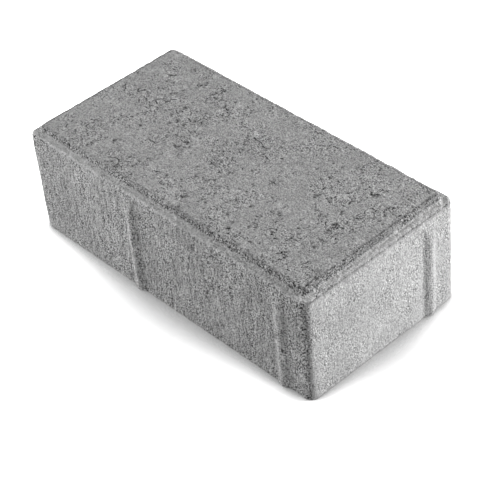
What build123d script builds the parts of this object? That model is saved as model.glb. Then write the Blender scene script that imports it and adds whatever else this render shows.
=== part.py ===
from build123d import *
import math
import os

# Concrete block paver, pressed in a steel mould and laid on its bed face.
# The origin is the centre of the bed face. X runs along the length, Y across
# the width, Z up to the wearing face. All sizes are millimetres.

# Block body, without the spacer ribs
block_length = 200.0
block_width = 100.0
block_height = 65.0
side_corner_radius = 4.0
bed_easing = 0.6

# Stepped edge round the wearing face: the stamper shoe leaves a narrow ledge,
# and a steep shoulder rises from the ledge to the wearing face
ledge_width = 4.2
arris_radius = 1.2
shoulder_run = 0.7
shoulder_height = 4.0
shoulder_corner_radius = 2.4
shoulder_foot_radius = 1.8
wearing_edge_radius = 0.9

# Upright spacer ribs, which keep the joint open between neighbouring blocks.
# Each place is measured from the side's right-hand corner, seen from outside,
# to the rib's crown, so the ribs of two blocks laid face to face never meet
rib_width = 9.5
rib_projection = 2.0
rib_root_depth = 1.0
rib_root_radius = 0.8
rib_below_ledge = 2.5
rib_runout = 13.0
stretcher_rib_places = (18.0, 122.0)
header_rib_places = (18.0,)

ledge_height = block_height - shoulder_height
rib_top = ledge_height - rib_below_ledge
lean_angle = math.degrees(math.atan(shoulder_run / shoulder_height))


def hollow_edges(solid):
    """The edges where two faces of a solid meet in a hollow."""
    return solid.edges().filter_by(lambda edge: edge.is_interior)


def body_below_ledge():
    """The block up to its ledge, with the arris round the ledge rounded."""
    outline = RectangleRounded(block_length, block_width, side_corner_radius)
    body = extrude(outline, ledge_height)
    return fillet(body.faces().sort_by(Axis.Z)[-1].edges(), arris_radius)


def shoulder():
    """The raised wearing face, whose sides lean in from the ledge."""
    foot = Pos(0, 0, ledge_height) * RectangleRounded(
        block_length - 2 * ledge_width,
        block_width - 2 * ledge_width,
        shoulder_corner_radius,
    )
    return extrude(foot, shoulder_height, taper=lean_angle)


def stepped_block():
    """The block without ribs, its step rounded at the foot and at the top."""
    block = body_below_ledge() + shoulder()
    block = fillet(hollow_edges(block), shoulder_foot_radius)
    wearing_face = block.faces().sort_by(Axis.Z)[-1]
    return fillet(wearing_face.edges(), wearing_edge_radius)


def spacer_rib():
    """A rounded rib standing on the plane Y = 0 and facing -Y, with a sloping
    run-out where the mould releases its upper end."""
    flank = rib_width / 2
    crown = ThreePointArc((-flank, 0), (0, -rib_projection), (flank, 0))
    root = Polyline(
        (flank, 0), (flank, rib_root_depth), (-flank, rib_root_depth), (-flank, 0)
    )
    rib = extrude(make_face(crown + root), rib_top)
    slope = Polyline(
        (0, rib_top),
        (-rib_projection, rib_top - rib_runout),
        (-2 * rib_projection, rib_top - rib_runout),
        (-2 * rib_projection, rib_top),
        close=True,
    )
    return rib - extrude(make_face(Plane.YZ * slope), flank, both=True)


def ribs_on_all_sides():
    """The ribs of the four sides, turned to each side in its own frame."""
    rib = spacer_rib()
    sides = (
        (0, block_length, block_width, stretcher_rib_places),
        (90, block_width, block_length, header_rib_places),
        (180, block_length, block_width, stretcher_rib_places),
        (270, block_width, block_length, header_rib_places),
    )
    return [
        Rot(0, 0, turn) * Pos(run / 2 - place, -depth / 2, 0) * rib
        for turn, run, depth, places in sides
        for place in places
    ]


def ribbed_block():
    """The whole block, its ribs blended into its sides and its bed eased."""
    block = stepped_block() + ribs_on_all_sides()
    rib_roots = hollow_edges(block).filter_by(Axis.Z)
    block = fillet(rib_roots, rib_root_radius)
    return chamfer(block.faces().sort_by(Axis.Z)[0].edges(), bed_easing)


os.makedirs("parts", exist_ok=True)
export_step(ribbed_block(), "parts/paving_stone.step")
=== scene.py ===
"""A concrete paving stone on a pale studio floor.

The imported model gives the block's place and size. Its skin is one closed surface, worked out with numpy
on the block's own outline and section: the drawn form first, then the marks of the mould, of the sand and
of the worn edges. The concrete itself is a procedural finish on object coordinates.
"""
import itertools
import logging
import math
from dataclasses import dataclass
from enum import Enum
from typing import Any, Optional, Union

import bpy
import numpy as np
from mathutils import Matrix, Vector


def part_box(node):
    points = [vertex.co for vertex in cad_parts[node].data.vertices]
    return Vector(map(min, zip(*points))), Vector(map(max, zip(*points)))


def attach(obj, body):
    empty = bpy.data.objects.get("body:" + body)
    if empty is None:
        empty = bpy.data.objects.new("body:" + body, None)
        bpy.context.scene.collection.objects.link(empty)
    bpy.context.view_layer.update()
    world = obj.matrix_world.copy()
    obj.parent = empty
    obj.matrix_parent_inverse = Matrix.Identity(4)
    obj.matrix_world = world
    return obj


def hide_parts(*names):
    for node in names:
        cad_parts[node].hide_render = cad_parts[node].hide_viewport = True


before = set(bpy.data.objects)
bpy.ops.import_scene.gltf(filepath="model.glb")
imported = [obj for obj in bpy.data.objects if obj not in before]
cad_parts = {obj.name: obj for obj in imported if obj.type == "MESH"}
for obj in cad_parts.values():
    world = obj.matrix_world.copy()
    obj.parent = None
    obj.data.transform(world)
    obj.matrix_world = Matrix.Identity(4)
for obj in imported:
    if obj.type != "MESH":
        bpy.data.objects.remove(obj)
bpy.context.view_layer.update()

MM = 0.001

# Divisions of the section's arcs and short straights
ARC_STEPS = 4
FOOT_STEPS = 5
STRAIGHT_STEPS = 3

# The middle of a procedural noise, the radius of a ball that reaches no point, and a length next to nothing
MIDDLE = 0.5
LEFT_OUT = 1e-6
TINY = 1e-12

# A dot's full core, as a share of its radius, and half the width of a sharp step in a procedural value
DOT_CORE = 0.6
STEP_BAND = 0.01

log = logging.getLogger("paving_stone")


# The drawn form of the block

@dataclass(frozen=True)
class Section:
    """The block's edge in section, from the bed face up to the wearing face.

    Attributes:
        inset: how far each station lies inside the side's plane, in metres.
        height: each station's height above the bed, in metres.
        corner: the corner radius of the block's outline at each station, in metres.
    """

    inset: np.ndarray
    height: np.ndarray
    corner: np.ndarray


@dataclass(frozen=True)
class BlockForm:
    """The sizes of the pressed block, in metres. Its outer size comes from the frame."""

    length: float
    width: float
    height: float
    side_corner: float = 4.0 * MM
    bed_easing: float = 0.6 * MM
    ledge_width: float = 4.2 * MM
    arris_radius: float = 1.2 * MM
    shoulder_run: float = 0.7 * MM
    shoulder_height: float = 4.0 * MM
    shoulder_corner: float = 2.4 * MM
    foot_radius: float = 1.8 * MM
    wearing_edge: float = 0.9 * MM
    rib_width: float = 9.5 * MM
    rib_projection: float = 2.0 * MM
    rib_below_ledge: float = 2.5 * MM
    rib_runout: float = 13.0 * MM
    stretcher_rib_places: tuple[float, ...] = (18.0 * MM, 122.0 * MM)
    header_rib_places: tuple[float, ...] = (18.0 * MM,)

    @classmethod
    def from_frame(cls, node: str) -> "BlockForm":
        """Takes the block's outer size from its node, less the ribs that stand proud of it.

        Args:
            node: the name of the block's node in the frame.

        Returns:
            The form at the frame's size.
        """
        low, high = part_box(node)
        proud = 2 * cls.rib_projection
        return cls(high.x - low.x - proud, high.y - low.y - proud, high.z - low.z)

    @property
    def ledge_height(self) -> float:
        """The ledge's height above the bed."""
        return self.height - self.shoulder_height

    def section(self, side_rows: int) -> Section:
        """Draws the edge of the block as arcs joined by straight lines.

        The foot's hollow is a circle that touches the ledge and the leaning shoulder, and the wearing edge
        is one that touches the shoulder and the wearing face, so both middles follow from the lean.

        Args:
            side_rows: how many rows the upright side is divided into.

        Returns:
            The stations of the section.
        """
        lean = math.atan(self.shoulder_run / self.shoulder_height)
        slope, rise = math.sin(lean), math.cos(lean)
        foot, edge = self.foot_radius, self.wearing_edge
        up_to_foot = foot * (1 - slope) / rise
        up_to_edge = (self.shoulder_height - edge + edge * slope) / rise
        foot_middle = self.ledge_width + up_to_foot * slope - foot * rise
        edge_middle = self.ledge_width + up_to_edge * slope + edge * rise
        bed, arris, ledge = self.bed_easing, self.arris_radius, self.ledge_height
        parts = [
            arc(bed, bed, bed, -90, -180, ARC_STEPS),
            line((0, bed), (0, ledge - arris), side_rows)[1:],
            arc(arris, ledge - arris, arris, 180, 90, ARC_STEPS)[1:],
            line((arris, ledge), (foot_middle, ledge), STRAIGHT_STEPS)[1:],
            arc(foot_middle, ledge + foot, foot, -90, -math.degrees(lean), FOOT_STEPS)[1:],
            line(
                (self.ledge_width + up_to_foot * slope, ledge + up_to_foot * rise),
                (self.ledge_width + up_to_edge * slope, ledge + up_to_edge * rise),
                STRAIGHT_STEPS,
            )[1:],
            arc(edge_middle, self.height - edge, edge, 180 - math.degrees(lean), 90, ARC_STEPS)[1:],
        ]
        inset, height = np.concatenate(parts).T
        corner = np.interp(
            inset,
            (0, arris, foot_middle, edge_middle),
            (
                self.side_corner,
                self.side_corner - arris,
                self.shoulder_corner + self.ledge_width - foot_middle,
                self.shoulder_corner + self.ledge_width - edge_middle,
            ),
        )
        return Section(inset, height, corner)

    def outline(self, across: np.ndarray, along: np.ndarray, inset: Any, corner: Any) -> np.ndarray:
        """Places points on a rounded rectangle, or inside it.

        The point starts on the sharp rectangle. Within the corner's square it is pulled towards the corner
        arc's middle by max(dx, dy) / hypot(dx, dy), which turns squares about that middle into circles.

        Args:
            across: the place along X, from -1 to 1.
            along: the place along Y, from -1 to 1.
            inset: how far the rectangle lies inside the block's sides.
            corner: its corner radius.

        Returns:
            The points' X and Y, in the last axis.
        """
        half = np.stack([self.length / 2 - inset, self.width / 2 - inset], axis=-1)
        sharp = np.stack([across, along], axis=-1) * half
        straight = half - np.asarray(corner)[..., None]
        over = np.maximum(np.abs(sharp) - straight, 0)
        reach = np.maximum(np.hypot(over[..., 0], over[..., 1]), TINY)
        pull = (over.max(axis=-1) / reach)[..., None]
        return np.where(over > 0, np.sign(sharp) * (straight + over * pull), sharp)

    def rib_crowns(self) -> list[tuple[np.ndarray, np.ndarray]]:
        """Finds the middle of each rib on its side's plane.

        Returns:
            Each middle, with the direction that its rib stands out in.
        """
        crowns = []
        sides = (
            (0, self.length, self.width, self.stretcher_rib_places),
            (90, self.width, self.length, self.header_rib_places),
            (180, self.length, self.width, self.stretcher_rib_places),
            (270, self.width, self.length, self.header_rib_places),
        )
        for turn, run, depth, places in sides:
            cos, sin = math.cos(math.radians(turn)), math.sin(math.radians(turn))
            rotation = np.array([[cos, -sin], [sin, cos]])
            for place in places:
                middle = rotation @ np.array([run / 2 - place, -depth / 2])
                crowns.append((middle, rotation @ np.array([0.0, -1.0])))
        return crowns

    def rib_rise(self, beside: np.ndarray, height: np.ndarray) -> np.ndarray:
        """How far a rib stands proud of its side.

        The section is a bell, p (1 + cos(2 pi s / w)) / 2, where p is the projection and w the width: the
        drawn cap as the pressing has left it, worn at its roots. A plane cuts it off towards the top.

        Args:
            beside: the distance from the rib's crown, along the side.
            height: the height above the bed.

        Returns:
            The rise, 0 where there is no rib.
        """
        share = np.clip(beside / self.rib_width, -0.5, 0.5)
        bell = self.rib_projection * (1 + np.cos(2 * math.pi * share)) / 2
        top = self.ledge_height - self.rib_below_ledge
        runout = (top - height) / self.rib_runout * self.rib_projection
        return np.maximum(np.minimum(bell, runout), 0)


def arc(x: float, y: float, radius: float, start: float, end: float, steps: int) -> np.ndarray:
    """Points on an arc of a circle, evenly turned from start to end, in degrees."""
    turn = np.radians(np.linspace(start, end, steps + 1))
    return np.stack([x + radius * np.cos(turn), y + radius * np.sin(turn)], axis=1)


def line(start: tuple[float, float], end: tuple[float, float], steps: int) -> np.ndarray:
    """Evenly spaced points on a straight line."""
    return np.linspace(start, end, steps + 1)


def node_box(node: str) -> tuple[np.ndarray, np.ndarray]:
    """The lowest and highest corner of a node of the frame."""
    low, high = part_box(node)
    return np.array(low), np.array(high)


def smooth_step(low: float, high: float, value: np.ndarray) -> np.ndarray:
    """0 below low, 1 above high, and 3t^2 - 2t^3 between them."""
    share = np.clip((value - low) / (high - low), 0, 1)
    return share * share * (3 - 2 * share)


# The marks on the form

@dataclass(frozen=True)
class Noise:
    """Smooth noise, about -1 to 1.

    A random number stands at each corner of a lattice. Between the corners it is their trilinear mean, with
    the weights eased by 3t^2 - 2t^3 along each axis.

    Attributes:
        cell: the lattice's cell, as one size or one for each axis.
        seed: picks the random numbers.
    """

    cell: Union[float, tuple[float, float, float]]
    seed: int

    def sample(self, points: np.ndarray) -> np.ndarray:
        """Reads the noise.

        Args:
            points: the points, one to a row.

        Returns:
            The noise at each point.
        """
        grid = points / np.broadcast_to(self.cell, 3)
        base = np.floor(grid).astype(int)
        share = grid - base
        share = share * share * (3 - 2 * share)
        base -= base.min(axis=0)
        corners = np.random.default_rng(self.seed).uniform(-1, 1, base.max(axis=0) + 2)
        noise = np.zeros(len(points))
        for corner in itertools.product((0, 1), repeat=3):
            weight = np.where(corner, share, 1 - share).prod(axis=1)
            noise += weight * corners[tuple((base + corner).T)]
        return noise


@dataclass(frozen=True)
class Pits:
    """Round pits, 0 outside them and 1 at the middle of the deepest.

    Each cell of a lattice holds one ball at a random place and of a random size, and a share of the balls
    are left out. A point's depth is the largest 1 - (distance / radius)^2 over the cells around it.

    Attributes:
        cell: the lattice's cell.
        radii: the smallest and largest radius of a ball, under half a cell.
        chance: the share of the cells that hold a ball.
        seed: picks the balls.
    """

    cell: float
    radii: tuple[float, float]
    chance: float
    seed: int

    def sample(self, points: np.ndarray) -> np.ndarray:
        """Reads the pits.

        Args:
            points: the points, one to a row.

        Returns:
            The depth at each point.
        """
        grid = points / self.cell
        base = np.floor(grid).astype(int)
        low = base.min(axis=0) - 1
        count = tuple(base.max(axis=0) - low + 2)
        rng = np.random.default_rng(self.seed)
        middles = rng.uniform(0, 1, count + (3,))
        sizes = rng.uniform(self.radii[0], self.radii[1], count) / self.cell
        sizes[rng.uniform(0, 1, count) > self.chance] = LEFT_OUT
        depth = np.zeros(len(points))
        for step in itertools.product((-1, 0, 1), repeat=3):
            near = base + step
            index = tuple((near - low).T)
            away = np.linalg.norm(near + middles[index] - grid, axis=1)
            depth = np.maximum(depth, 1 - (away / sizes[index]) ** 2)
        return np.maximum(depth, 0)


@dataclass(frozen=True)
class DrawnLine:
    """A line on a level face: exp(-(d / (w / 2))^2), where d is the distance from it in plan.

    Attributes:
        corners: the line's corners, as X and Y.
        width: its width w.
    """

    corners: tuple[tuple[float, float], ...]
    width: float

    def sample(self, points: np.ndarray) -> np.ndarray:
        """Reads the line.

        Args:
            points: the points, one to a row.

        Returns:
            1 on the line, falling to 0 beside it.
        """
        plan = points[:, :2]
        away = np.full(len(points), np.inf)
        for start, end in zip(np.array(self.corners[:-1]), np.array(self.corners[1:])):
            run = end - start
            share = np.clip((plan - start) @ run / (run @ run), 0, 1)
            away = np.minimum(away, np.linalg.norm(plan - start - share[:, None] * run, axis=1))
        return np.exp(-((2 * away / self.width) ** 2))


@dataclass(frozen=True)
class Limits:
    """Where one part of the block passes into the next, as a distance or as the pair it changes between.

    The shoulder and the ledge start at a rise above the ledge, and the shoulder ends at a way in from its
    top. The steepness is 0 for a level face and 1 for an upright one.
    """

    edge_reach: float = 1.1 * MM
    side_change: float = 0.4 * MM
    crevice_drop: float = 0.75 * MM
    crevice_reach: float = 0.55 * MM
    shoulder_start: tuple[float, float] = (0.0, 0.9 * MM)
    shoulder_end: tuple[float, float] = (0.5 * MM, 1.7 * MM)
    ledge_start: tuple[float, float] = (-1.2 * MM, -0.4 * MM)
    steepness: tuple[float, float] = (0.35, 0.75)
    rib_start: float = 0.5 * MM


def nearness(distance: np.ndarray, reach: float) -> np.ndarray:
    """1 at distance 0, falling off as exp(-(distance / reach)^2)."""
    return np.exp(-((distance / reach) ** 2))


@dataclass(frozen=True)
class Places:
    """What part of the block each point of its skin belongs to, as shares from 0 to 1.

    Attributes:
        points: the points of the drawn form, one to a row.
        upright: 1 on the sides and 0 on level faces.
        header: 1 on the short sides and 0 on the long ones.
        arris: 1 on the edge between the ledge and a side, falling to 0 away from it.
        crevice: the same just under the arris of the short sides.
        wearing_edge: the same for the edge of the wearing face.
        bed_edge: the same for the edge of the bed face.
        shoulder: 1 on the steep rise from the ledge to the wearing face.
        ledge: 1 on the ledge.
        outward: 0 at the ledge's foot and 1 at the arris.
        rib: 1 on a rib's crown and 0 beside it.
    """

    points: np.ndarray
    upright: np.ndarray
    header: np.ndarray
    arris: np.ndarray
    crevice: np.ndarray
    wearing_edge: np.ndarray
    bed_edge: np.ndarray
    shoulder: np.ndarray
    ledge: np.ndarray
    outward: np.ndarray
    rib: np.ndarray

    @classmethod
    def of(cls, form: BlockForm, points: np.ndarray, normals: np.ndarray) -> "Places":
        """Sorts the points by their inset from the sides and their height above the ledge.

        Args:
            form: the drawn form.
            points: its points.
            normals: its normals there.

        Returns:
            The places of the points.
        """
        limits = Limits()
        half = np.array([form.length / 2, form.width / 2])
        insets = half - np.abs(points[:, :2])
        inset = np.maximum(insets.min(axis=1), 0)
        rise = points[:, 2] - form.ledge_height
        shoulder_top = form.ledge_width + form.shoulder_run
        header = smooth_step(-limits.side_change, limits.side_change, insets[:, 1] - insets[:, 0])
        to_wearing_edge = np.hypot(inset - shoulder_top, rise - form.shoulder_height)
        to_bed_edge = np.hypot(inset, rise + form.ledge_height)
        to_crevice = np.hypot(inset, rise + limits.crevice_drop)
        end = shoulder_top + np.array(limits.shoulder_end)
        on_shoulder = smooth_step(*limits.shoulder_start, rise) * (1 - smooth_step(*end, inset))
        on_ledge = smooth_step(*limits.ledge_start, rise) * (1 - on_shoulder)
        return cls(
            points=points,
            upright=smooth_step(*limits.steepness, 1 - np.abs(normals[:, 2])),
            header=header,
            arris=nearness(np.hypot(inset, rise), limits.edge_reach),
            crevice=nearness(to_crevice, limits.crevice_reach) * header,
            wearing_edge=nearness(to_wearing_edge, limits.edge_reach),
            bed_edge=nearness(to_bed_edge, limits.edge_reach),
            shoulder=on_shoulder,
            ledge=on_ledge * (1 - smooth_step(form.ledge_width, shoulder_top, inset)),
            outward=1 - np.clip(inset / form.ledge_width, 0, 1),
            rib=smooth_step(limits.rib_start, form.rib_projection, -insets.min(axis=1)),
        )


@dataclass(frozen=True)
class LedgeWearAndLight:
    """Painted light and rubbed paste on the ledge: up to the arris on the long sides, short of it on the
    short ones.

    Attributes:
        growth: the power with which the paleness grows outwards on the long sides.
        lost: the share of it that is lost again towards the arris.
        lost_between: where that happens, as shares of the way outwards.
        short_side: the paleness on the short sides.
        short_side_end: where it ends, as shares of the way outwards.
    """

    growth: float = 0.3
    lost: float = 0.6
    lost_between: tuple[float, float] = (0.8, 1.0)
    short_side: float = 0.8
    short_side_end: tuple[float, float] = (0.6, 0.95)

    def sample(self, at: Places) -> np.ndarray:
        """Reads the paleness.

        Args:
            at: the points and the parts of the block that they belong to.

        Returns:
            The paleness at each point, from 0 to 1.
        """
        kept = 1 - self.lost * smooth_step(*self.lost_between, at.outward)
        on_long_side = at.outward**self.growth * kept
        on_short_side = self.short_side * (1 - smooth_step(*self.short_side_end, at.outward))
        return at.ledge * (on_long_side + (on_short_side - on_long_side) * at.header)


@dataclass(frozen=True)
class Relief:
    """The marks that the skin carries.

    Its first numbers are depths in metres, and `proud` is how far the skin may stand out of the drawn form.
    A pair holds the two values between which a mark sets in. A number that ends in `share` weighs the
    second of two noises, one in `lost` or `closed` is the share of a mark that a part of the block does
    without, and one in `shade` says how far a mark counts as a hollow, which the finish darkens as
    painted shade.
    """

    unevenness: float = 0.10 * MM
    sand: float = 0.20 * MM
    drag: float = 0.24 * MM
    hollows: float = 0.85 * MM
    furrows: float = 0.30 * MM
    chips: float = 0.50 * MM
    ledge_wear: float = 0.12 * MM
    crevice: float = 0.35 * MM
    rib_wear: float = 0.25 * MM
    crease_depth: float = 0.60 * MM
    proud: float = 0.18 * MM
    bed_lift: tuple[float, float] = (0.05 * MM, 0.5 * MM)
    swell: Noise = Noise(34 * MM, 11)
    fine_sand: Noise = Noise(1.5 * MM, 12)
    coarse_sand: Noise = Noise(3.0 * MM, 13)
    fine_share: float = 0.6
    drag_marks: Noise = Noise((1.5 * MM, 1.5 * MM, 17 * MM), 14)
    open_zones: Noise = Noise(21 * MM, 15)
    open_spots: Noise = Noise(8 * MM, 19)
    spot_share: float = 0.4
    open_between: tuple[float, float] = (-0.25, 0.45)
    least_open: float = 0.25
    small_pits: Pits = Pits(2.6 * MM, (0.4 * MM, 1.0 * MM), 0.6, 16)
    large_pits: Pits = Pits(6.5 * MM, (0.7 * MM, 1.4 * MM), 0.45, 20)
    side_closed: float = 0.55
    ledge_closed: float = 0.6
    shoulder_closed: float = 0.7
    pit_gain: float = 1.5
    furrow_course: Noise = Noise(9 * MM, 22)
    furrow_width: float = 0.09
    bend_cell: float = 1.9 * MM
    bend_seeds: tuple[int, int, int] = (31, 32, 33)
    bend_reach: float = 0.8 * MM
    chip_noise: Noise = Noise(2.4 * MM, 17)
    chip_swell: Noise = Noise(7 * MM, 18)
    chip_swell_share: float = 0.25
    chip_level: float = 0.1
    chip_range: tuple[float, float] = (-0.3, 1.2)
    wearing_edge_chips: float = 0.5
    bed_edge_chips: float = 0.7
    side_sand_lost: float = 0.3
    closed_sand: float = 0.5
    header_drag_lost: float = 0.6
    crevice_level: float = 0.45
    crevice_break: float = 1.4
    furrow_shade: float = 0.5
    crease_shade: float = 0.8
    crease: DrawnLine = DrawnLine(
        (
            (94.4 * MM, -43.0 * MM),
            (93.6 * MM, -37.5 * MM),
            (91.2 * MM, -31.5 * MM),
        ),
        0.8 * MM,
    )
    # Painted light and rubbed paste: how pale the finish paints the ledge.
    rub_and_light: LedgeWearAndLight = LedgeWearAndLight()

    def openness(self, points: np.ndarray) -> np.ndarray:
        """How open the texture is at each point, from 0 to 1."""
        noise = self.open_zones.sample(points) + self.spot_share * self.open_spots.sample(points)
        return smooth_step(*self.open_between, noise)

    def bend(self, points: np.ndarray) -> np.ndarray:
        """Moves the points about by a little noise, so that no pit read at them stays round."""
        moves = [Noise(self.bend_cell, seed).sample(points) for seed in self.bend_seeds]
        return points + np.stack(moves, axis=1) * self.bend_reach

    def pits(self, at: Places, bent: np.ndarray, open_texture: np.ndarray) -> np.ndarray:
        """Joins the small and the large pits.

        Args:
            at: the points and the parts of the block that they belong to.
            bent: the points, moved about.
            open_texture: how open the texture is.

        Returns:
            The depth of the pits, from 0 to 1.
        """
        small = self.small_pits.sample(bent) * (self.least_open + (1 - self.least_open) * open_texture)
        pits = np.maximum(small, self.large_pits.sample(bent) * open_texture)
        pits = pits * (1 - self.side_closed * at.upright) * (1 - self.ledge_closed * at.ledge)
        return pits * (1 - self.shoulder_closed * at.shoulder)

    def chipping(self, bent: np.ndarray) -> np.ndarray:
        """How far an edge would be chipped at each point."""
        noise = self.chip_noise.sample(bent) + self.chip_swell_share * self.chip_swell.sample(bent)
        return np.clip(noise - self.chip_level, *self.chip_range)

    def grain(self, at: Places, open_texture: np.ndarray) -> np.ndarray:
        """Joins the sandy grain and the drag marks.

        Args:
            at: the points and the parts of the block that they belong to.
            open_texture: how open the texture is.

        Returns:
            The depth of both together at each point, in metres.
        """
        fine = self.fine_sand.sample(at.points) * self.fine_share
        sand = fine + self.coarse_sand.sample(at.points) * (1 - self.fine_share)
        kept = self.closed_sand + (1 - self.closed_sand) * open_texture
        kept = kept * (1 - self.side_sand_lost * at.upright)
        drag = self.drag_marks.sample(at.points) * at.upright * (1 - self.header_drag_lost * at.header)
        return self.sand * sand * kept + self.drag * drag

    def press(self, at: Places) -> tuple[np.ndarray, np.ndarray]:
        """Adds up the marks at each point of the form.

        A furrow runs where a smooth noise n crosses 0: its depth is 1 - |n| / w within the width w.

        Args:
            at: the points and the parts of the block that they belong to.

        Returns:
            The depth at each point, inwards, and how far it is a hollow, which the finish darkens as painted
            shade. Both are 0 on the bed face, which the pressing board leaves flat.
        """
        bent = self.bend(at.points)
        open_texture = self.openness(at.points)
        level = 1 - at.upright
        pits = self.pits(at, bent, open_texture)
        course = np.abs(self.furrow_course.sample(bent))
        furrow = np.maximum(1 - course / self.furrow_width, 0) * level * open_texture
        chip = self.chipping(bent)
        edges = np.maximum(at.arris, self.wearing_edge_chips * at.wearing_edge)
        edges = edges + self.bed_edge_chips * at.bed_edge
        crease = self.crease.sample(bent) * level
        depth = (
            self.unevenness * self.swell.sample(at.points)
            + self.grain(at, open_texture)
            + self.hollows * np.minimum(self.pit_gain * pits, 1)
            + self.furrows * furrow
            + self.chips * edges * chip
            + self.ledge_wear * at.ledge * at.outward**2
            + self.crevice * at.crevice * np.clip(self.crevice_level + self.crevice_break * chip, 0, 1)
            + self.crease_depth * crease
            + self.rib_wear * at.rib
        )
        # How far each point is a hollow: the finish darkens it as painted shade.
        hollow = self.pit_gain * pits + self.furrow_shade * furrow + self.crease_shade * crease
        raised = smooth_step(*self.bed_lift, at.points[:, 2])
        return (depth - self.proud) * raised, np.minimum(hollow, 1) * raised


@dataclass
class SkinMesh:
    """The closed surface of the block: a wearing face, a ring of sides and a coarser bed face.

    Attributes:
        columns: the divisions of the block's length, a multiple of coarsen.
        rows: the divisions of its width, a multiple of coarsen.
        side_rows: the divisions of its upright side.
        coarsen: how many of the ring's columns one column of the bed face spans.
    """

    form: BlockForm
    columns: int = 280
    rows: int = 140
    side_rows: int = 42
    coarsen: int = 4

    def rim(self, step: int = 1) -> np.ndarray:
        """The grid indices of a rectangle's rim, anticlockwise from the corner at -X -Y.

        Args:
            step: the division between one index and the next.

        Returns:
            Column and row, one pair for each place on the rim.
        """
        across, along = np.arange(0, self.columns, step), np.arange(0, self.rows, step)
        south = np.stack([across, np.zeros_like(across)], axis=1)
        east = np.stack([np.full_like(along, self.columns), along], axis=1)
        north = np.stack([self.columns - across, np.full_like(across, self.rows)], axis=1)
        west = np.stack([np.zeros_like(along), self.rows - along], axis=1)
        return np.concatenate([south, east, north, west])

    def ring(self) -> np.ndarray:
        """Carries the section round the outline, with the ribs.

        Returns:
            The ring's points, by station, then by place on the rim.
        """
        form, section, rim = self.form, self.form.section(self.side_rows), self.rim()
        across = 2 * rim[:, 0] / self.columns - 1
        along = 2 * rim[:, 1] / self.rows - 1
        stations, places = len(section.inset), len(rim)
        shape = (stations, places)
        plan = form.outline(
            np.broadcast_to(across, shape),
            np.broadcast_to(along, shape),
            np.broadcast_to(section.inset[:, None], shape),
            np.broadcast_to(section.corner[:, None], shape),
        )
        height = np.broadcast_to(section.height[:, None], shape)
        drawn = plan.copy()
        for middle, outward in form.rib_crowns():
            tangent = np.array([-outward[1], outward[0]])
            on_side = (plan - middle) @ outward > -form.side_corner
            beside = (plan - middle) @ tangent
            rise = form.rib_rise(beside, height) * on_side
            drawn += rise[..., None] * outward
        return np.concatenate([drawn, height[..., None]], axis=-1)

    def cap(self, step: int, inset: float, corner: float, height: float) -> np.ndarray:
        """A level face on the outline's grid.

        Args:
            step: the grid's division.
            inset: how far its rim lies inside the block's sides.
            corner: its corner radius.
            height: its height above the bed.

        Returns:
            The face's points, by column and row.
        """
        across, along = np.meshgrid(
            np.linspace(-1, 1, self.columns // step + 1),
            np.linspace(-1, 1, self.rows // step + 1),
            indexing="ij",
        )
        plan = self.form.outline(across, along, np.full(across.shape, inset), np.full(across.shape, corner))
        return np.concatenate([plan, np.full(across.shape + (1,), height)], axis=-1)

    def build(self) -> tuple[np.ndarray, np.ndarray, np.ndarray]:
        """Joins the ring, the wearing face and the bed face into one closed surface.

        Returns:
            The points, the four-sided faces and the three-sided faces.
        """
        section = self.form.section(self.side_rows)
        ring = self.ring()
        stations, places = ring.shape[:2]
        ring_ids = np.arange(stations * places).reshape(stations, places)
        points = [ring.reshape(-1, 3)]
        used = stations * places

        top = self.cap(1, section.inset[-1], section.corner[-1], self.form.height)
        top_ids = np.zeros(top.shape[:2], int)
        inner = top[1:-1, 1:-1]
        top_ids[1:-1, 1:-1] = used + np.arange(inner[..., 0].size).reshape(inner.shape[:2])
        top_ids[tuple(self.rim().T)] = ring_ids[-1]
        points.append(inner.reshape(-1, 3))
        used += inner[..., 0].size

        margin = 2 * self.form.side_corner
        bed = self.cap(self.coarsen, margin, self.form.bed_easing, 0.0)
        bed_ids = used + np.arange(bed[..., 0].size).reshape(bed.shape[:2])
        points.append(bed.reshape(-1, 3))

        around = np.roll(ring_ids, -1, axis=1)
        ring_faces = np.stack([ring_ids[:-1], around[:-1], around[1:], ring_ids[1:]], axis=-1)
        quads = [ring_faces.reshape(-1, 4), grid_faces(top_ids), grid_faces(bed_ids)[:, ::-1]]
        coarse_rim = bed_ids[tuple((self.rim(self.coarsen) // self.coarsen).T)]
        return np.concatenate(points), np.concatenate(quads), stitch(ring_ids[0], coarse_rim, self.coarsen)


def grid_faces(ids: np.ndarray) -> np.ndarray:
    """The four-sided faces of a grid of points, facing up."""
    return np.stack([ids[:-1, :-1], ids[1:, :-1], ids[1:, 1:], ids[:-1, 1:]], axis=-1).reshape(-1, 4)


def stitch(fine: np.ndarray, coarse: np.ndarray, ratio: int) -> np.ndarray:
    """Joins a fine closed rim to a coarse one inside it, facing down.

    The first half of the fine edges beside a coarse edge fans from its first point and the rest from its
    second, with one face on the coarse edge itself between the two fans.

    Args:
        fine: the indices of the fine rim, ratio for each of the coarse rim.
        coarse: the indices of the coarse rim.
        ratio: how many fine edges lie beside a coarse one.

    Returns:
        The three-sided faces.
    """
    start = fine.reshape(-1, ratio)
    end = np.roll(fine, -1).reshape(-1, ratio)
    after = np.roll(coarse, -1)
    half = ratio // 2
    hub = np.where(np.arange(ratio) < half, coarse[:, None], after[:, None])
    fans = np.stack([end, start, hub], axis=-1).reshape(-1, 3)
    wedges = np.stack([coarse, after, start[:, half]], axis=-1)
    return np.concatenate([fans, wedges])


# Shader trees, written as expressions

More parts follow.
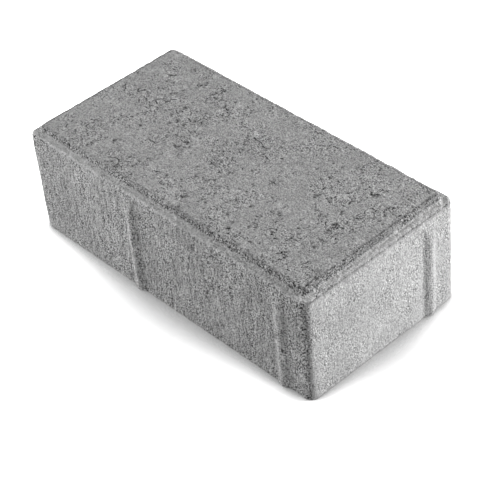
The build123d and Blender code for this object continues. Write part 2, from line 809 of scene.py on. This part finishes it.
class Wire:
    """An output socket that takes part in arithmetic, by adding Math nodes."""

    def __init__(self, sheet: "NodeSheet", socket: bpy.types.NodeSocket) -> None:
        """Wraps one socket of a sheet's tree."""
        self.sheet = sheet
        self.socket = socket

    def output(self, name: str) -> "Wire":
        """Another output of the same node."""
        return Wire(self.sheet, self.socket.node.outputs[name])

    def math(self, operation: str, *values: "Value") -> "Wire":
        """A Math node of this wire and other values, in that order."""
        return self.sheet.math(operation, self, *values)

    def __add__(self, other: "Value") -> "Wire":
        """Adds a value."""
        return self.math("ADD", other)

    __radd__ = __add__

    def __mul__(self, other: "Value") -> "Wire":
        """Multiplies by a value."""
        return self.math("MULTIPLY", other)

    __rmul__ = __mul__

    def __sub__(self, other: "Value") -> "Wire":
        """Takes a value away."""
        return self.math("SUBTRACT", other)

    def __rsub__(self, other: "Value") -> "Wire":
        """Takes this wire away from a value."""
        return self.sheet.math("SUBTRACT", other, self)

    def __pow__(self, power: "Value") -> "Wire":
        """Raises to a power."""
        return self.math("POWER", power)

    def over(self, low: float, high: float) -> "Wire":
        """Eases this wire from 0 to 1.

        Args:
            low: its value where the result is 0.
            high: its value where the result is 1, above low or below it.

        Returns:
            The eased value.
        """
        if low > high:
            return 1 - self.over(high, low)
        sockets = {"Value": self, "From Min": low, "From Max": high}
        return self.sheet.node("ShaderNodeMapRange", {"interpolation_type": "SMOOTHSTEP"}, sockets)


Value = Union[Wire, float, int]


class NodeSheet:
    """The node tree of one material or world."""

    def __init__(self, tree: bpy.types.NodeTree) -> None:
        """Empties a tree to write on it."""
        tree.nodes.clear()
        self.tree = tree

    def node(self, kind: str, settings: Optional[dict] = None, sockets: Optional[dict] = None) -> Wire:
        """Adds one node.

        Args:
            kind: the node's type.
            settings: its properties, set first.
            sockets: its inputs by name or number, as wires or constants.

        Returns:
            The node's first output, or None where it has none.
        """
        node = self.tree.nodes.new(kind)
        for name, value in (settings or {}).items():
            setattr(node, name, value)
        for name, value in (sockets or {}).items():
            named = (item for item in node.inputs if item.name == name and item.enabled)
            socket = node.inputs[name] if isinstance(name, int) else next(named)
            if isinstance(value, Wire):
                self.tree.links.new(value.socket, socket)
            else:
                socket.default_value = value
        shown = [item for item in node.outputs if item.enabled]
        return Wire(self, shown[0]) if shown else None

    def math(self, operation: str, *values: Value) -> Wire:
        """Adds a Math node whose inputs are the values, in order."""
        return self.node("ShaderNodeMath", {"operation": operation}, dict(enumerate(values)))

    def attribute(self, name: str) -> Wire:
        """A number that the mesh carries at each point."""
        return self.node("ShaderNodeAttribute", {"attribute_name": name}).output("Fac")

    def warp(self, place: Wire, size: float, reach: float) -> Wire:
        """Moves coordinates about by noise.

        Args:
            place: the coordinates.
            size: how large the noise's features are, in metres.
            reach: how far it moves them at most.

        Returns:
            The moved coordinates.
        """
        noise = Texture(size).draw(self, place).output("Color")
        sockets = {0: noise, 1: (reach, reach, reach), 2: place}
        return self.node("ShaderNodeVectorMath", {"operation": "MULTIPLY_ADD"}, sockets)

    def stretch(self, place: Wire, factors: tuple[float, float, float]) -> Wire:
        """The place with its axes scaled, so that a pattern is drawn out along the smaller ones."""
        return self.node("ShaderNodeMapping", {"vector_type": "POINT"}, {"Vector": place, "Scale": factors})


class Mark(Enum):
    """The attributes that the skin hands to its finish."""

    UPRIGHT = "upright"
    HEADER = "header"
    SHOULDER = "shoulder"
    LEDGE_WEAR_AND_LIGHT = "ledge"
    CREVICE_PITS_AND_SHADE = "crevice"
    RIB = "rib"
    HOLLOW_SHADE = "hollow"


Colour = tuple[float, float, float, float]


def grey(level: float) -> Colour:
    """A grey of that level."""
    return (level, level, level, 1.0)


@dataclass(frozen=True)
class Dots:
    """Round dots, at most one in each cell of a Voronoi pattern.

    Attributes:
        cell: the pattern's cell, in metres.
        radius: the largest dot's radius, as a share of the cell.
        smallest: the smallest dot's radius, as a share of the largest one's.
        missing: the share of the cells that hold none.
    """

    cell: float
    radius: float
    smallest: float
    missing: float

    def draw(self, sheet: NodeSheet, place: Wire) -> tuple[Wire, Wire]:
        """Writes the dots on a tree.

        Args:
            sheet: the tree to write on.
            place: the coordinates.

        Returns:
            1 in a dot and 0 outside, and a number from 0 to 1 that is each dot's own.
        """
        cells = sheet.node("ShaderNodeTexVoronoi", None, {"Vector": place, "Scale": 1 / self.cell})
        pick = sheet.node("ShaderNodeSeparateColor", None, {"Color": cells.output("Color")})
        size = pick.output("Green") * (1 - self.smallest) + self.smallest
        kept = pick.output("Red").over(self.missing - STEP_BAND, self.missing + STEP_BAND)
        dot = cells.math("DIVIDE", size).over(self.radius, self.radius * DOT_CORE)
        return dot * kept, pick.output("Blue")


@dataclass(frozen=True)
class Texture:
    """Procedural noise from 0 to 1.

    Attributes:
        size: how large its features are, in metres.
        detail: how many finer octaves it has.
        harshness: how strong each octave is beside the one before it.
    """

    size: float
    detail: float = 1.0
    harshness: float = 0.5

    def draw(self, sheet: NodeSheet, place: Wire) -> Wire:
        """Writes the noise on a tree.

        Args:
            sheet: the tree to write on.
            place: the coordinates.

        Returns:
            The noise at each place.
        """
        sockets = {
            "Vector": place,
            "Scale": 1 / self.size,
            "Detail": self.detail,
            "Roughness": self.harshness,
        }
        return sheet.node("ShaderNodeTexNoise", None, sockets)


@dataclass(frozen=True)
class Veins:
    """Lines where a noise crosses its middle, broken up by a second noise.

    Attributes:
        course: the noise that the lines follow.
        edge: how far it is from its middle where a line ends, and where it is full.
        breaks: the noise that breaks the lines up.
        kept: the values of it between which a line sets in.
    """

    course: Texture
    edge: tuple[float, float]
    breaks: Texture
    kept: tuple[float, float]

    def draw(self, sheet: NodeSheet, bent: Wire, place: Wire) -> Wire:
        """Writes the lines on a tree, at bent, with their breaks at place: 1 on a line, 0 beside it."""
        lines = (self.course.draw(sheet, bent) - MIDDLE).math("ABSOLUTE").over(*self.edge)
        return lines * self.breaks.draw(sheet, place).over(*self.kept)


@dataclass(frozen=True)
class Patterns:
    """The finish's patterns on one tree, before they are weighed."""

    drawn_side: Wire
    cloud: Wire
    grain: Wire
    streak: Wire
    sand: Wire
    sand_tone: Wire
    pore: Wire
    grit: Wire
    grit_tone: Wire
    seam: Wire
    ridge: Wire
    hollow: Wire


@dataclass(frozen=True)
class ToneWeights:
    """What each pattern adds to the tone, in which 0 is the dark colour and 1 the pale one.

    A number that starts with `side` or `header` changes the pattern's own on the sides, or on the short
    sides alone. Pores and seams darken. The hollows, the shoulder and the sides darken as painted shade, and
    the crevice as pitted paste and painted shade. The rest makes paler: the ledge partly as rubbed paste and
    partly as painted light, and the ribs' crowns on the long sides partly as rubbed paste and partly as
    painted highlight.
    """

    body: float = 0.50
    cloud: float = 0.16
    side_cloud: float = 0.14
    grain: float = 1.5
    side_grain: float = 0.85
    streak: float = 1.0
    sand: float = 0.55
    sand_middle: float = 0.42
    grit: float = 0.95
    least_grit: float = 0.03
    side_grit_lost: float = 0.6
    ridge: float = 0.15
    pore: float = 1.3
    seam: float = 0.35
    # Painted shade: the pits, furrows and crease are darkened, less on the sides.
    hollow: float = 0.25
    side_hollow_lost: float = 0.11
    # Painted shade: the sides are made darker than the top, less so on the short sides.
    side: float = 0.055
    header_side_shade_lost: float = 0.025
    # Painted light, partly rubbed paste: the ledge is made paler where the shoulder shades it from the
    # lamps.
    ledge: float = 0.20
    # Paler rib crowns on the long sides, partly rubbed paste and partly painted highlight; a little darker
    # on the short sides.
    rib: float = 0.14
    header_rib: float = 0.19
    # Painted shade: the shoulder band under the wearing edge is darkened, more on the short sides.
    shoulder: float = 0.15
    header_shoulder_shade: float = 0.12
    # Pitted paste and painted shade: the groove under the short sides' arris is darkened, broken up by the
    # grain.
    crevice: float = 0.26
    crevice_grain: float = 3.2

    def mix(self, of: Patterns, marks: dict[Mark, Wire]) -> Wire:
        """Adds up the tone.

        Args:
            of: the patterns.
            marks: the skin's attributes.

        Returns:
            The tone at each point.
        """
        upright, header = marks[Mark.UPRIGHT], marks[Mark.HEADER]
        # Painted light and shade, with some wear: a paler ledge and rib crowns, a darker shoulder and
        # crevice.
        worked = (
            marks[Mark.LEDGE_WEAR_AND_LIGHT] * self.ledge
            + marks[Mark.RIB] * (self.rib - self.header_rib * header)
            - marks[Mark.SHOULDER] * (self.shoulder + self.header_shoulder_shade * header)
            - marks[Mark.CREVICE_PITS_AND_SHADE] * (self.crevice + self.crevice_grain * of.grain)
        )
        return (
            self.body
            + of.cloud * (self.cloud + self.side_cloud * upright)
            + of.grain * self.grain * (1 + self.side_grain * of.drawn_side)
            + of.streak * self.streak
            + of.sand * (of.sand_tone - self.sand_middle) * self.sand
            + of.grit * (of.grit_tone * self.grit + self.least_grit) * (1 - self.side_grit_lost * upright)
            + of.ridge * self.ridge
            - of.pore * self.pore
            - of.seam * self.seam
            - of.hollow * (self.hollow - self.side_hollow_lost * upright)
            # painted shade: the sides darker than the top
            - upright * (self.side - self.header_side_shade_lost * header)
            + worked
        )


@dataclass(frozen=True)
class HeightWeights:
    """What each pattern adds to the bump's height, as a share of the bump's distance.

    Pores, seams and hollows go down. The long sides lose a share of the grain and of the drag marks.
    """

    grain: float = 1.1
    streak: float = 0.8
    drawn_side_lost: float = 0.55
    sand: float = 0.18
    grit: float = 0.5
    ridge: float = 0.35
    pore: float = 1.1
    seam: float = 0.7
    hollow: float = 0.7

    def mix(self, of: Patterns) -> Wire:
        """Adds up the height.

        Args:
            of: the patterns.

        Returns:
            The height at each point.
        """
        fine = (of.grain * self.grain + of.streak * self.streak) * (1 - self.drawn_side_lost * of.drawn_side)
        raised = fine + of.sand * self.sand + of.grit * self.grit + of.ridge * self.ridge
        return raised - of.pore * self.pore - of.seam * self.seam - of.hollow * self.hollow


@dataclass(frozen=True)
class ConcreteFinish:
    """Raw pressed concrete: grey cement, sand grains, pores in chains, pale grit and drag marks.

    The texture is open in some zones, with more grain, pores and seams, and closed in others. A number that
    ends in `lost` or `closed` is the share of a pattern that a part of the block does without.
    """

    dark: Colour = grey(0.02)
    pale: Colour = grey(0.72)
    clouds: Texture = Texture(30 * MM, 3.0)
    zones: Texture = Texture(14 * MM, 2.0)
    open_between: tuple[float, float] = (0.42, 0.60)
    grains: Texture = Texture(0.75 * MM, 1.0, 0.6)
    closed_grain: float = 0.7
    open_grain: float = 0.5
    header_grain_lost: float = 0.15
    streaks: Texture = Texture(0.9 * MM, 2.0, 0.6)
    streak_length: float = 5.5 * MM
    header_streak_lost: float = 0.8
    bend_size: float = 1.6 * MM
    drift: float = 0.7 * MM
    sand: Dots = Dots(1.15 * MM, 0.46, 0.6, 0.35)
    pores: Dots = Dots(1.3 * MM, 0.38, 0.5, 0.60)
    grit: Dots = Dots(2.6 * MM, 0.27, 0.5, 0.60)
    seams: Veins = Veins(Texture(8 * MM), (0.030, 0.008), Texture(3.5 * MM), (0.46, 0.56))
    ridges: Veins = Veins(Texture(5.5 * MM), (0.075, 0.0), Texture(6 * MM), (0.50, 0.58))
    least_open: float = 0.25
    ledge_closed: float = 0.7
    shoulder_closed: float = 0.9
    least_pore: float = 0.4
    # The hollows' painted shade is broken up by the grain and eased in between these values.
    hollow_grain: float = 1.6
    hollow_between: tuple[float, float] = (0.46, 0.62)
    tone: ToneWeights = ToneWeights()
    height: HeightWeights = HeightWeights()
    bump: float = 0.6 * MM
    roughness: float = 0.88
    grain_roughness: float = 0.15
    specular: float = 0.2

    def patterns(self, sheet: NodeSheet, place: Wire, marks: dict[Mark, Wire]) -> Patterns:
        """Writes the patterns on a tree.

        Args:
            sheet: the tree to write on.
            place: the object's own coordinates.
            marks: the skin's attributes.

        Returns:
            The patterns.
        """
        upright, header = marks[Mark.UPRIGHT], marks[Mark.HEADER]
        open_texture = self.zones.draw(sheet, place).over(*self.open_between)
        grain = self.grains.draw(sheet, place) - MIDDLE
        grain = grain * (self.closed_grain + self.open_grain * open_texture)
        grain = grain * (1 - self.header_grain_lost * header * upright)
        drawn = sheet.stretch(place, (1.0, 1.0, self.streaks.size / self.streak_length))
        streak = (self.streaks.draw(sheet, drawn) - MIDDLE) * upright
        streak = streak * (1 - header * self.header_streak_lost)
        bent = sheet.warp(place, self.bend_size, self.drift)
        sand, sand_tone = self.sand.draw(sheet, place)
        pore, pore_depth = self.pores.draw(sheet, bent)
        grit, grit_tone = self.grit.draw(sheet, bent)
        openness = self.least_open + (1 - self.least_open) * open_texture
        openness = openness * (1 - marks[Mark.LEDGE_WEAR_AND_LIGHT] * self.ledge_closed)
        openness = openness * (1 - marks[Mark.SHOULDER] * self.shoulder_closed)
        return Patterns(
            drawn_side=upright * (1 - header),
            cloud=self.clouds.draw(sheet, place) - MIDDLE,
            grain=grain,
            streak=streak,
            sand=sand,
            sand_tone=sand_tone,
            pore=pore * openness * (self.least_pore + (1 - self.least_pore) * pore_depth),
            grit=grit,
            grit_tone=grit_tone,
            seam=self.seams.draw(sheet, bent, place) * (1 - upright) * openness,
            ridge=self.ridges.draw(sheet, bent, place) * (1 - upright),
            # painted shade in the pits, furrows and crease
            hollow=(marks[Mark.HOLLOW_SHADE] + grain * self.hollow_grain).over(*self.hollow_between),
        )

    def material(self) -> bpy.types.Material:
        """Writes the finish as a material, on object coordinates and the skin's attributes.

        Returns:
            The material.
        """
        material = bpy.data.materials.new("pressed_concrete")
        material.use_nodes = True
        sheet = NodeSheet(material.node_tree)
        place = sheet.node("ShaderNodeTexCoord").output("Object")
        marks = {mark: sheet.attribute(mark.value) for mark in Mark}
        patterns = self.patterns(sheet, place, marks)
        colour = sheet.node(
            "ShaderNodeMix",
            {"data_type": "RGBA"},
            {"Factor": self.tone.mix(patterns, marks), "A": self.dark, "B": self.pale},
        )
        normal = sheet.node(
            "ShaderNodeBump",
            None,
            {"Strength": 1.0, "Distance": self.bump, "Height": self.height.mix(patterns)},
        )
        shader = sheet.node(
            "ShaderNodeBsdfPrincipled",
            None,
            {
                "Base Color": colour,
                "Roughness": self.roughness + patterns.grain * self.grain_roughness,
                "Specular IOR Level": self.specular,
                "Normal": normal,
            },
        )
        sheet.node("ShaderNodeOutputMaterial", None, {"Surface": shader})
        return material


@dataclass
class PavingStone:
    """The block itself: one pressed piece, with its skin and its finish."""

    form: BlockForm
    relief: Relief
    finish: ConcreteFinish
    node: str = "paving_stone"
    body: str = "root"
    slot: str = "concrete"

    def mesh(self) -> bpy.types.Mesh:
        """Builds the skin and presses the marks into it, along its own normals.

        Returns:
            The finished mesh, with its marks as attributes.
        """
        points, quads, triangles = SkinMesh(self.form).build()
        mesh = bpy.data.meshes.new("paving_stone_skin")
        mesh.from_pydata(points, [], quads.tolist() + triangles.tolist())
        mesh.shade_smooth()
        normals = np.zeros(points.size)
        mesh.vertex_normals.foreach_get("vector", normals)
        normals = normals.reshape(-1, 3)
        at = Places.of(self.form, points, normals)
        depth, hollow = self.relief.press(at)
        pressed = points - normals * depth[:, None]
        pressed = np.clip(pressed, *node_box(self.node))
        mesh.vertices.foreach_set("co", pressed.astype(np.float32).ravel())
        shares = {
            Mark.UPRIGHT: at.upright,
            Mark.HEADER: at.header,
            Mark.SHOULDER: at.shoulder,
            # The ledge's paleness: partly rubbed paste, partly painted light.
            Mark.LEDGE_WEAR_AND_LIGHT: self.relief.rub_and_light.sample(at),
            Mark.CREVICE_PITS_AND_SHADE: at.crevice,
            Mark.RIB: at.rib,
            Mark.HOLLOW_SHADE: hollow,
        }
        for mark, values in shares.items():
            attribute = mesh.attributes.new(mark.value, "FLOAT", "POINT")
            attribute.data.foreach_set("value", values.astype(np.float32))
        mesh.update()
        mesh.validate()
        return mesh

    def build(self) -> bpy.types.Object:
        """Places the dressed block in the frame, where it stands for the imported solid.

        Returns:
            The block's object.
        """
        stone = bpy.data.objects.new("paving_stone_cast", self.mesh())
        bpy.context.scene.collection.objects.link(stone)
        stone.data.materials.append(self.finish.material())
        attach(stone, self.body)
        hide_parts(self.node)
        return stone


# The studio

@dataclass(frozen=True)
class Lamp:
    """A square soft lamp that faces the block.

    Attributes:
        name: what the lamp is for.
        azimuth: where it stands, in degrees from -Y towards +X.
        elevation: its height above the floor, in degrees.
        distance: from the block's middle, in metres.
        size: its side, in metres.
        level: how bright a white matt surface that faces it becomes.
    """

    name: str
    azimuth: float
    elevation: float
    distance: float
    size: float
    level: float

    def place(self, target: Vector) -> bpy.types.Object:
        """Hangs the lamp. A small lamp of P watts gives a level of P / (pi * distance)^2.

        Args:
            target: the point that it faces.

        Returns:
            The lamp's object.
        """
        data = bpy.data.lights.new(self.name, "AREA")
        data.shape = "SQUARE"
        data.size = self.size
        data.energy = self.level * (math.pi * self.distance) ** 2
        lamp = bpy.data.objects.new(self.name, data)
        bpy.context.scene.collection.objects.link(lamp)
        turn, tilt = math.radians(self.azimuth), math.radians(self.elevation)
        away = Vector((math.sin(turn) * math.cos(tilt), -math.cos(turn) * math.cos(tilt), math.sin(tilt)))
        lamp.location = target + away * self.distance
        lamp.rotation_euler = away.to_track_quat("Z", "Y").to_euler()
        return lamp


@dataclass(frozen=True)
class Studio:
    """A pale floor, soft lamps and the camera.

    The floor gives back one share of the light to the block, and another, lifted to white, to the
    camera. Where the block stands close to it, it fades to the shadow's level over the pair of opennesses.
    Lengths are in metres, angles in degrees, and the lens and the sensor in millimetres.
    """

    floor_side: float = 12.0
    floor_albedo: float = 0.6
    floor_seen: float = 1.7
    floor_glow: float = 0.6
    shadow_level: float = 0.4
    open_between: tuple[float, float] = (0.35, 1.0)
    occlusion_samples: int = 8
    contact_reach: float = 42 * MM
    corner_reach: float = 7 * MM
    shadow_spread: tuple[float, float] = (62 * MM, 30 * MM)
    world_level: float = 0.27
    lamps: tuple[Lamp, ...] = (
        Lamp("key_lamp", azimuth=136.0, elevation=11.0, distance=0.85, size=0.3, level=1.53),
        Lamp("side_lamp", azimuth=-66.0, elevation=5.0, distance=0.55, size=0.12, level=0.60),
        Lamp("front_lamp", azimuth=-36.0, elevation=46.0, distance=1.3, size=0.4, level=0.40),
    )
    camera_place: tuple[float, float, float] = (513.1 * MM, -421.65 * MM, 564.55 * MM)
    camera_azimuth: float = 50.235
    camera_elevation: float = 40.131
    camera_roll: float = 5.927
    lens: float = 121.75
    sensor_width: float = 36.0

    def lay_floor(self) -> bpy.types.Object:
        """Lays the floor under the block. To the camera it is lifted to white, and it keeps the shadow.

        Returns:
            The floor's object.
        """
        half = self.floor_side / 2
        corners = [(-half, -half, 0), (half, -half, 0), (half, half, 0), (-half, half, 0)]
        mesh = bpy.data.meshes.new("studio_floor")
        mesh.from_pydata(corners, [], [(0, 1, 2, 3)])
        floor = bpy.data.objects.new("studio_floor", mesh)
        bpy.context.scene.collection.objects.link(floor)
        material = bpy.data.materials.new("white_floor")
        material.use_nodes = True
        sheet = NodeSheet(material.node_tree)
        paint = sheet.node("ShaderNodeBsdfDiffuse", None, {"Color": grey(self.floor_albedo)})
        near = sheet.node(
            "ShaderNodeAmbientOcclusion",
            {"samples": self.occlusion_samples},
            {"Distance": self.shadow_reach(sheet)},
        )
        openness = near.output("AO").over(*self.open_between)
        shade = sheet.node(
            "ShaderNodeMix",
            {"data_type": "RGBA"},
            {"Factor": openness, "A": grey(self.shadow_level), "B": grey(self.floor_seen)},
        )
        lit = sheet.node("ShaderNodeBsdfDiffuse", None, {"Color": shade})
        glow = sheet.node("ShaderNodeEmission", None, {"Strength": openness**2 * self.floor_glow})
        lifted = sheet.node("ShaderNodeAddShader", None, {0: lit, 1: glow})
        surface = sheet.node("ShaderNodeMixShader", None, {0: self.seen(sheet), 1: paint, 2: lifted})
        sheet.node("ShaderNodeOutputMaterial", None, {"Surface": surface})
        mesh.materials.append(material)
        return floor

    def shadow_reach(self, sheet: NodeSheet) -> Wire:
        """How far the contact shadow reaches out: most in the middle of each side, least at the corners.

        The share is the larger of exp(-(x / a)^2) and exp(-(y / b)^2), where a and b are the spreads.

        Args:
            sheet: the floor's tree.

        Returns:
            The reach in metres.
        """
        place = sheet.node("ShaderNodeTexCoord").output("Object")
        across = sheet.node("ShaderNodeSeparateXYZ", None, {"Vector": place})
        shares = [
            (axis * axis * (-1 / spread**2)).math("EXPONENT")
            for axis, spread in zip((across, across.output("Y")), self.shadow_spread)
        ]
        share = shares[0].math("MAXIMUM", shares[1])
        return share * (self.contact_reach - self.corner_reach) + self.corner_reach

    @staticmethod
    def seen(sheet: NodeSheet) -> Wire:
        """Picks the rays that come from the camera, straight or by way of gloss or glass.

        Args:
            sheet: the tree to write on.

        Returns:
            1 for those rays and 0 for the others.
        """
        path = sheet.node("ShaderNodeLightPath")
        rays = (path.output(name) for name in ("Is Camera Ray", "Is Glossy Ray", "Is Transmission Ray"))
        camera, glossy, through = rays
        return camera.math("MAXIMUM", glossy).math("MAXIMUM", through)

    def light_world(self) -> None:
        """Fills the surroundings with even light, white to the camera."""
        world = bpy.data.worlds.new("studio_surroundings")
        world.use_nodes = True
        sheet = NodeSheet(world.node_tree)
        strength = self.seen(sheet) * (1 - self.world_level) + self.world_level
        light = sheet.node("ShaderNodeBackground", None, {"Color": grey(1.0), "Strength": strength})
        sheet.node("ShaderNodeOutputWorld", None, {"Surface": light})
        bpy.context.scene.world = world

    def set_camera(self) -> bpy.types.Object:
        """Sets the camera where the photograph was taken from.

        Returns:
            The camera's object.
        """
        data = bpy.data.cameras.new("portrait_camera")
        data.sensor_width = self.sensor_width
        data.lens = self.lens
        camera = bpy.data.objects.new("portrait_camera", data)
        bpy.context.scene.collection.objects.link(camera)
        turn = Matrix.Rotation(math.radians(self.camera_azimuth), 4, "Z")
        tilt = Matrix.Rotation(math.radians(90 - self.camera_elevation), 4, "X")
        roll = Matrix.Rotation(math.radians(-self.camera_roll), 4, "Z")
        camera.matrix_world = Matrix.Translation(self.camera_place) @ turn @ tilt @ roll
        bpy.context.scene.camera = camera
        return camera

    def build(self, target: Vector) -> None:
        """Sets up the floor, the lights and the camera.

        Args:
            target: the point that the lamps face.
        """
        self.lay_floor()
        self.light_world()
        for lamp in self.lamps:
            lamp.place(target)
        self.set_camera()
        view = bpy.context.scene.view_settings
        view.view_transform = "Standard"


def main() -> None:
    """Builds the block and the studio, and reports each piece."""
    logging.basicConfig(level=logging.INFO, format="%(name)s: %(message)s")
    form = BlockForm.from_frame("paving_stone")
    stone = PavingStone(form, Relief(), ConcreteFinish()).build()
    log.info("%s: %d points, %d faces", stone.name, len(stone.data.vertices), len(stone.data.polygons))
    Studio().build(Vector((0, 0, form.height / 2)))
    log.info("studio: floor, lamps and camera")


if __name__ == "__main__":
    main()
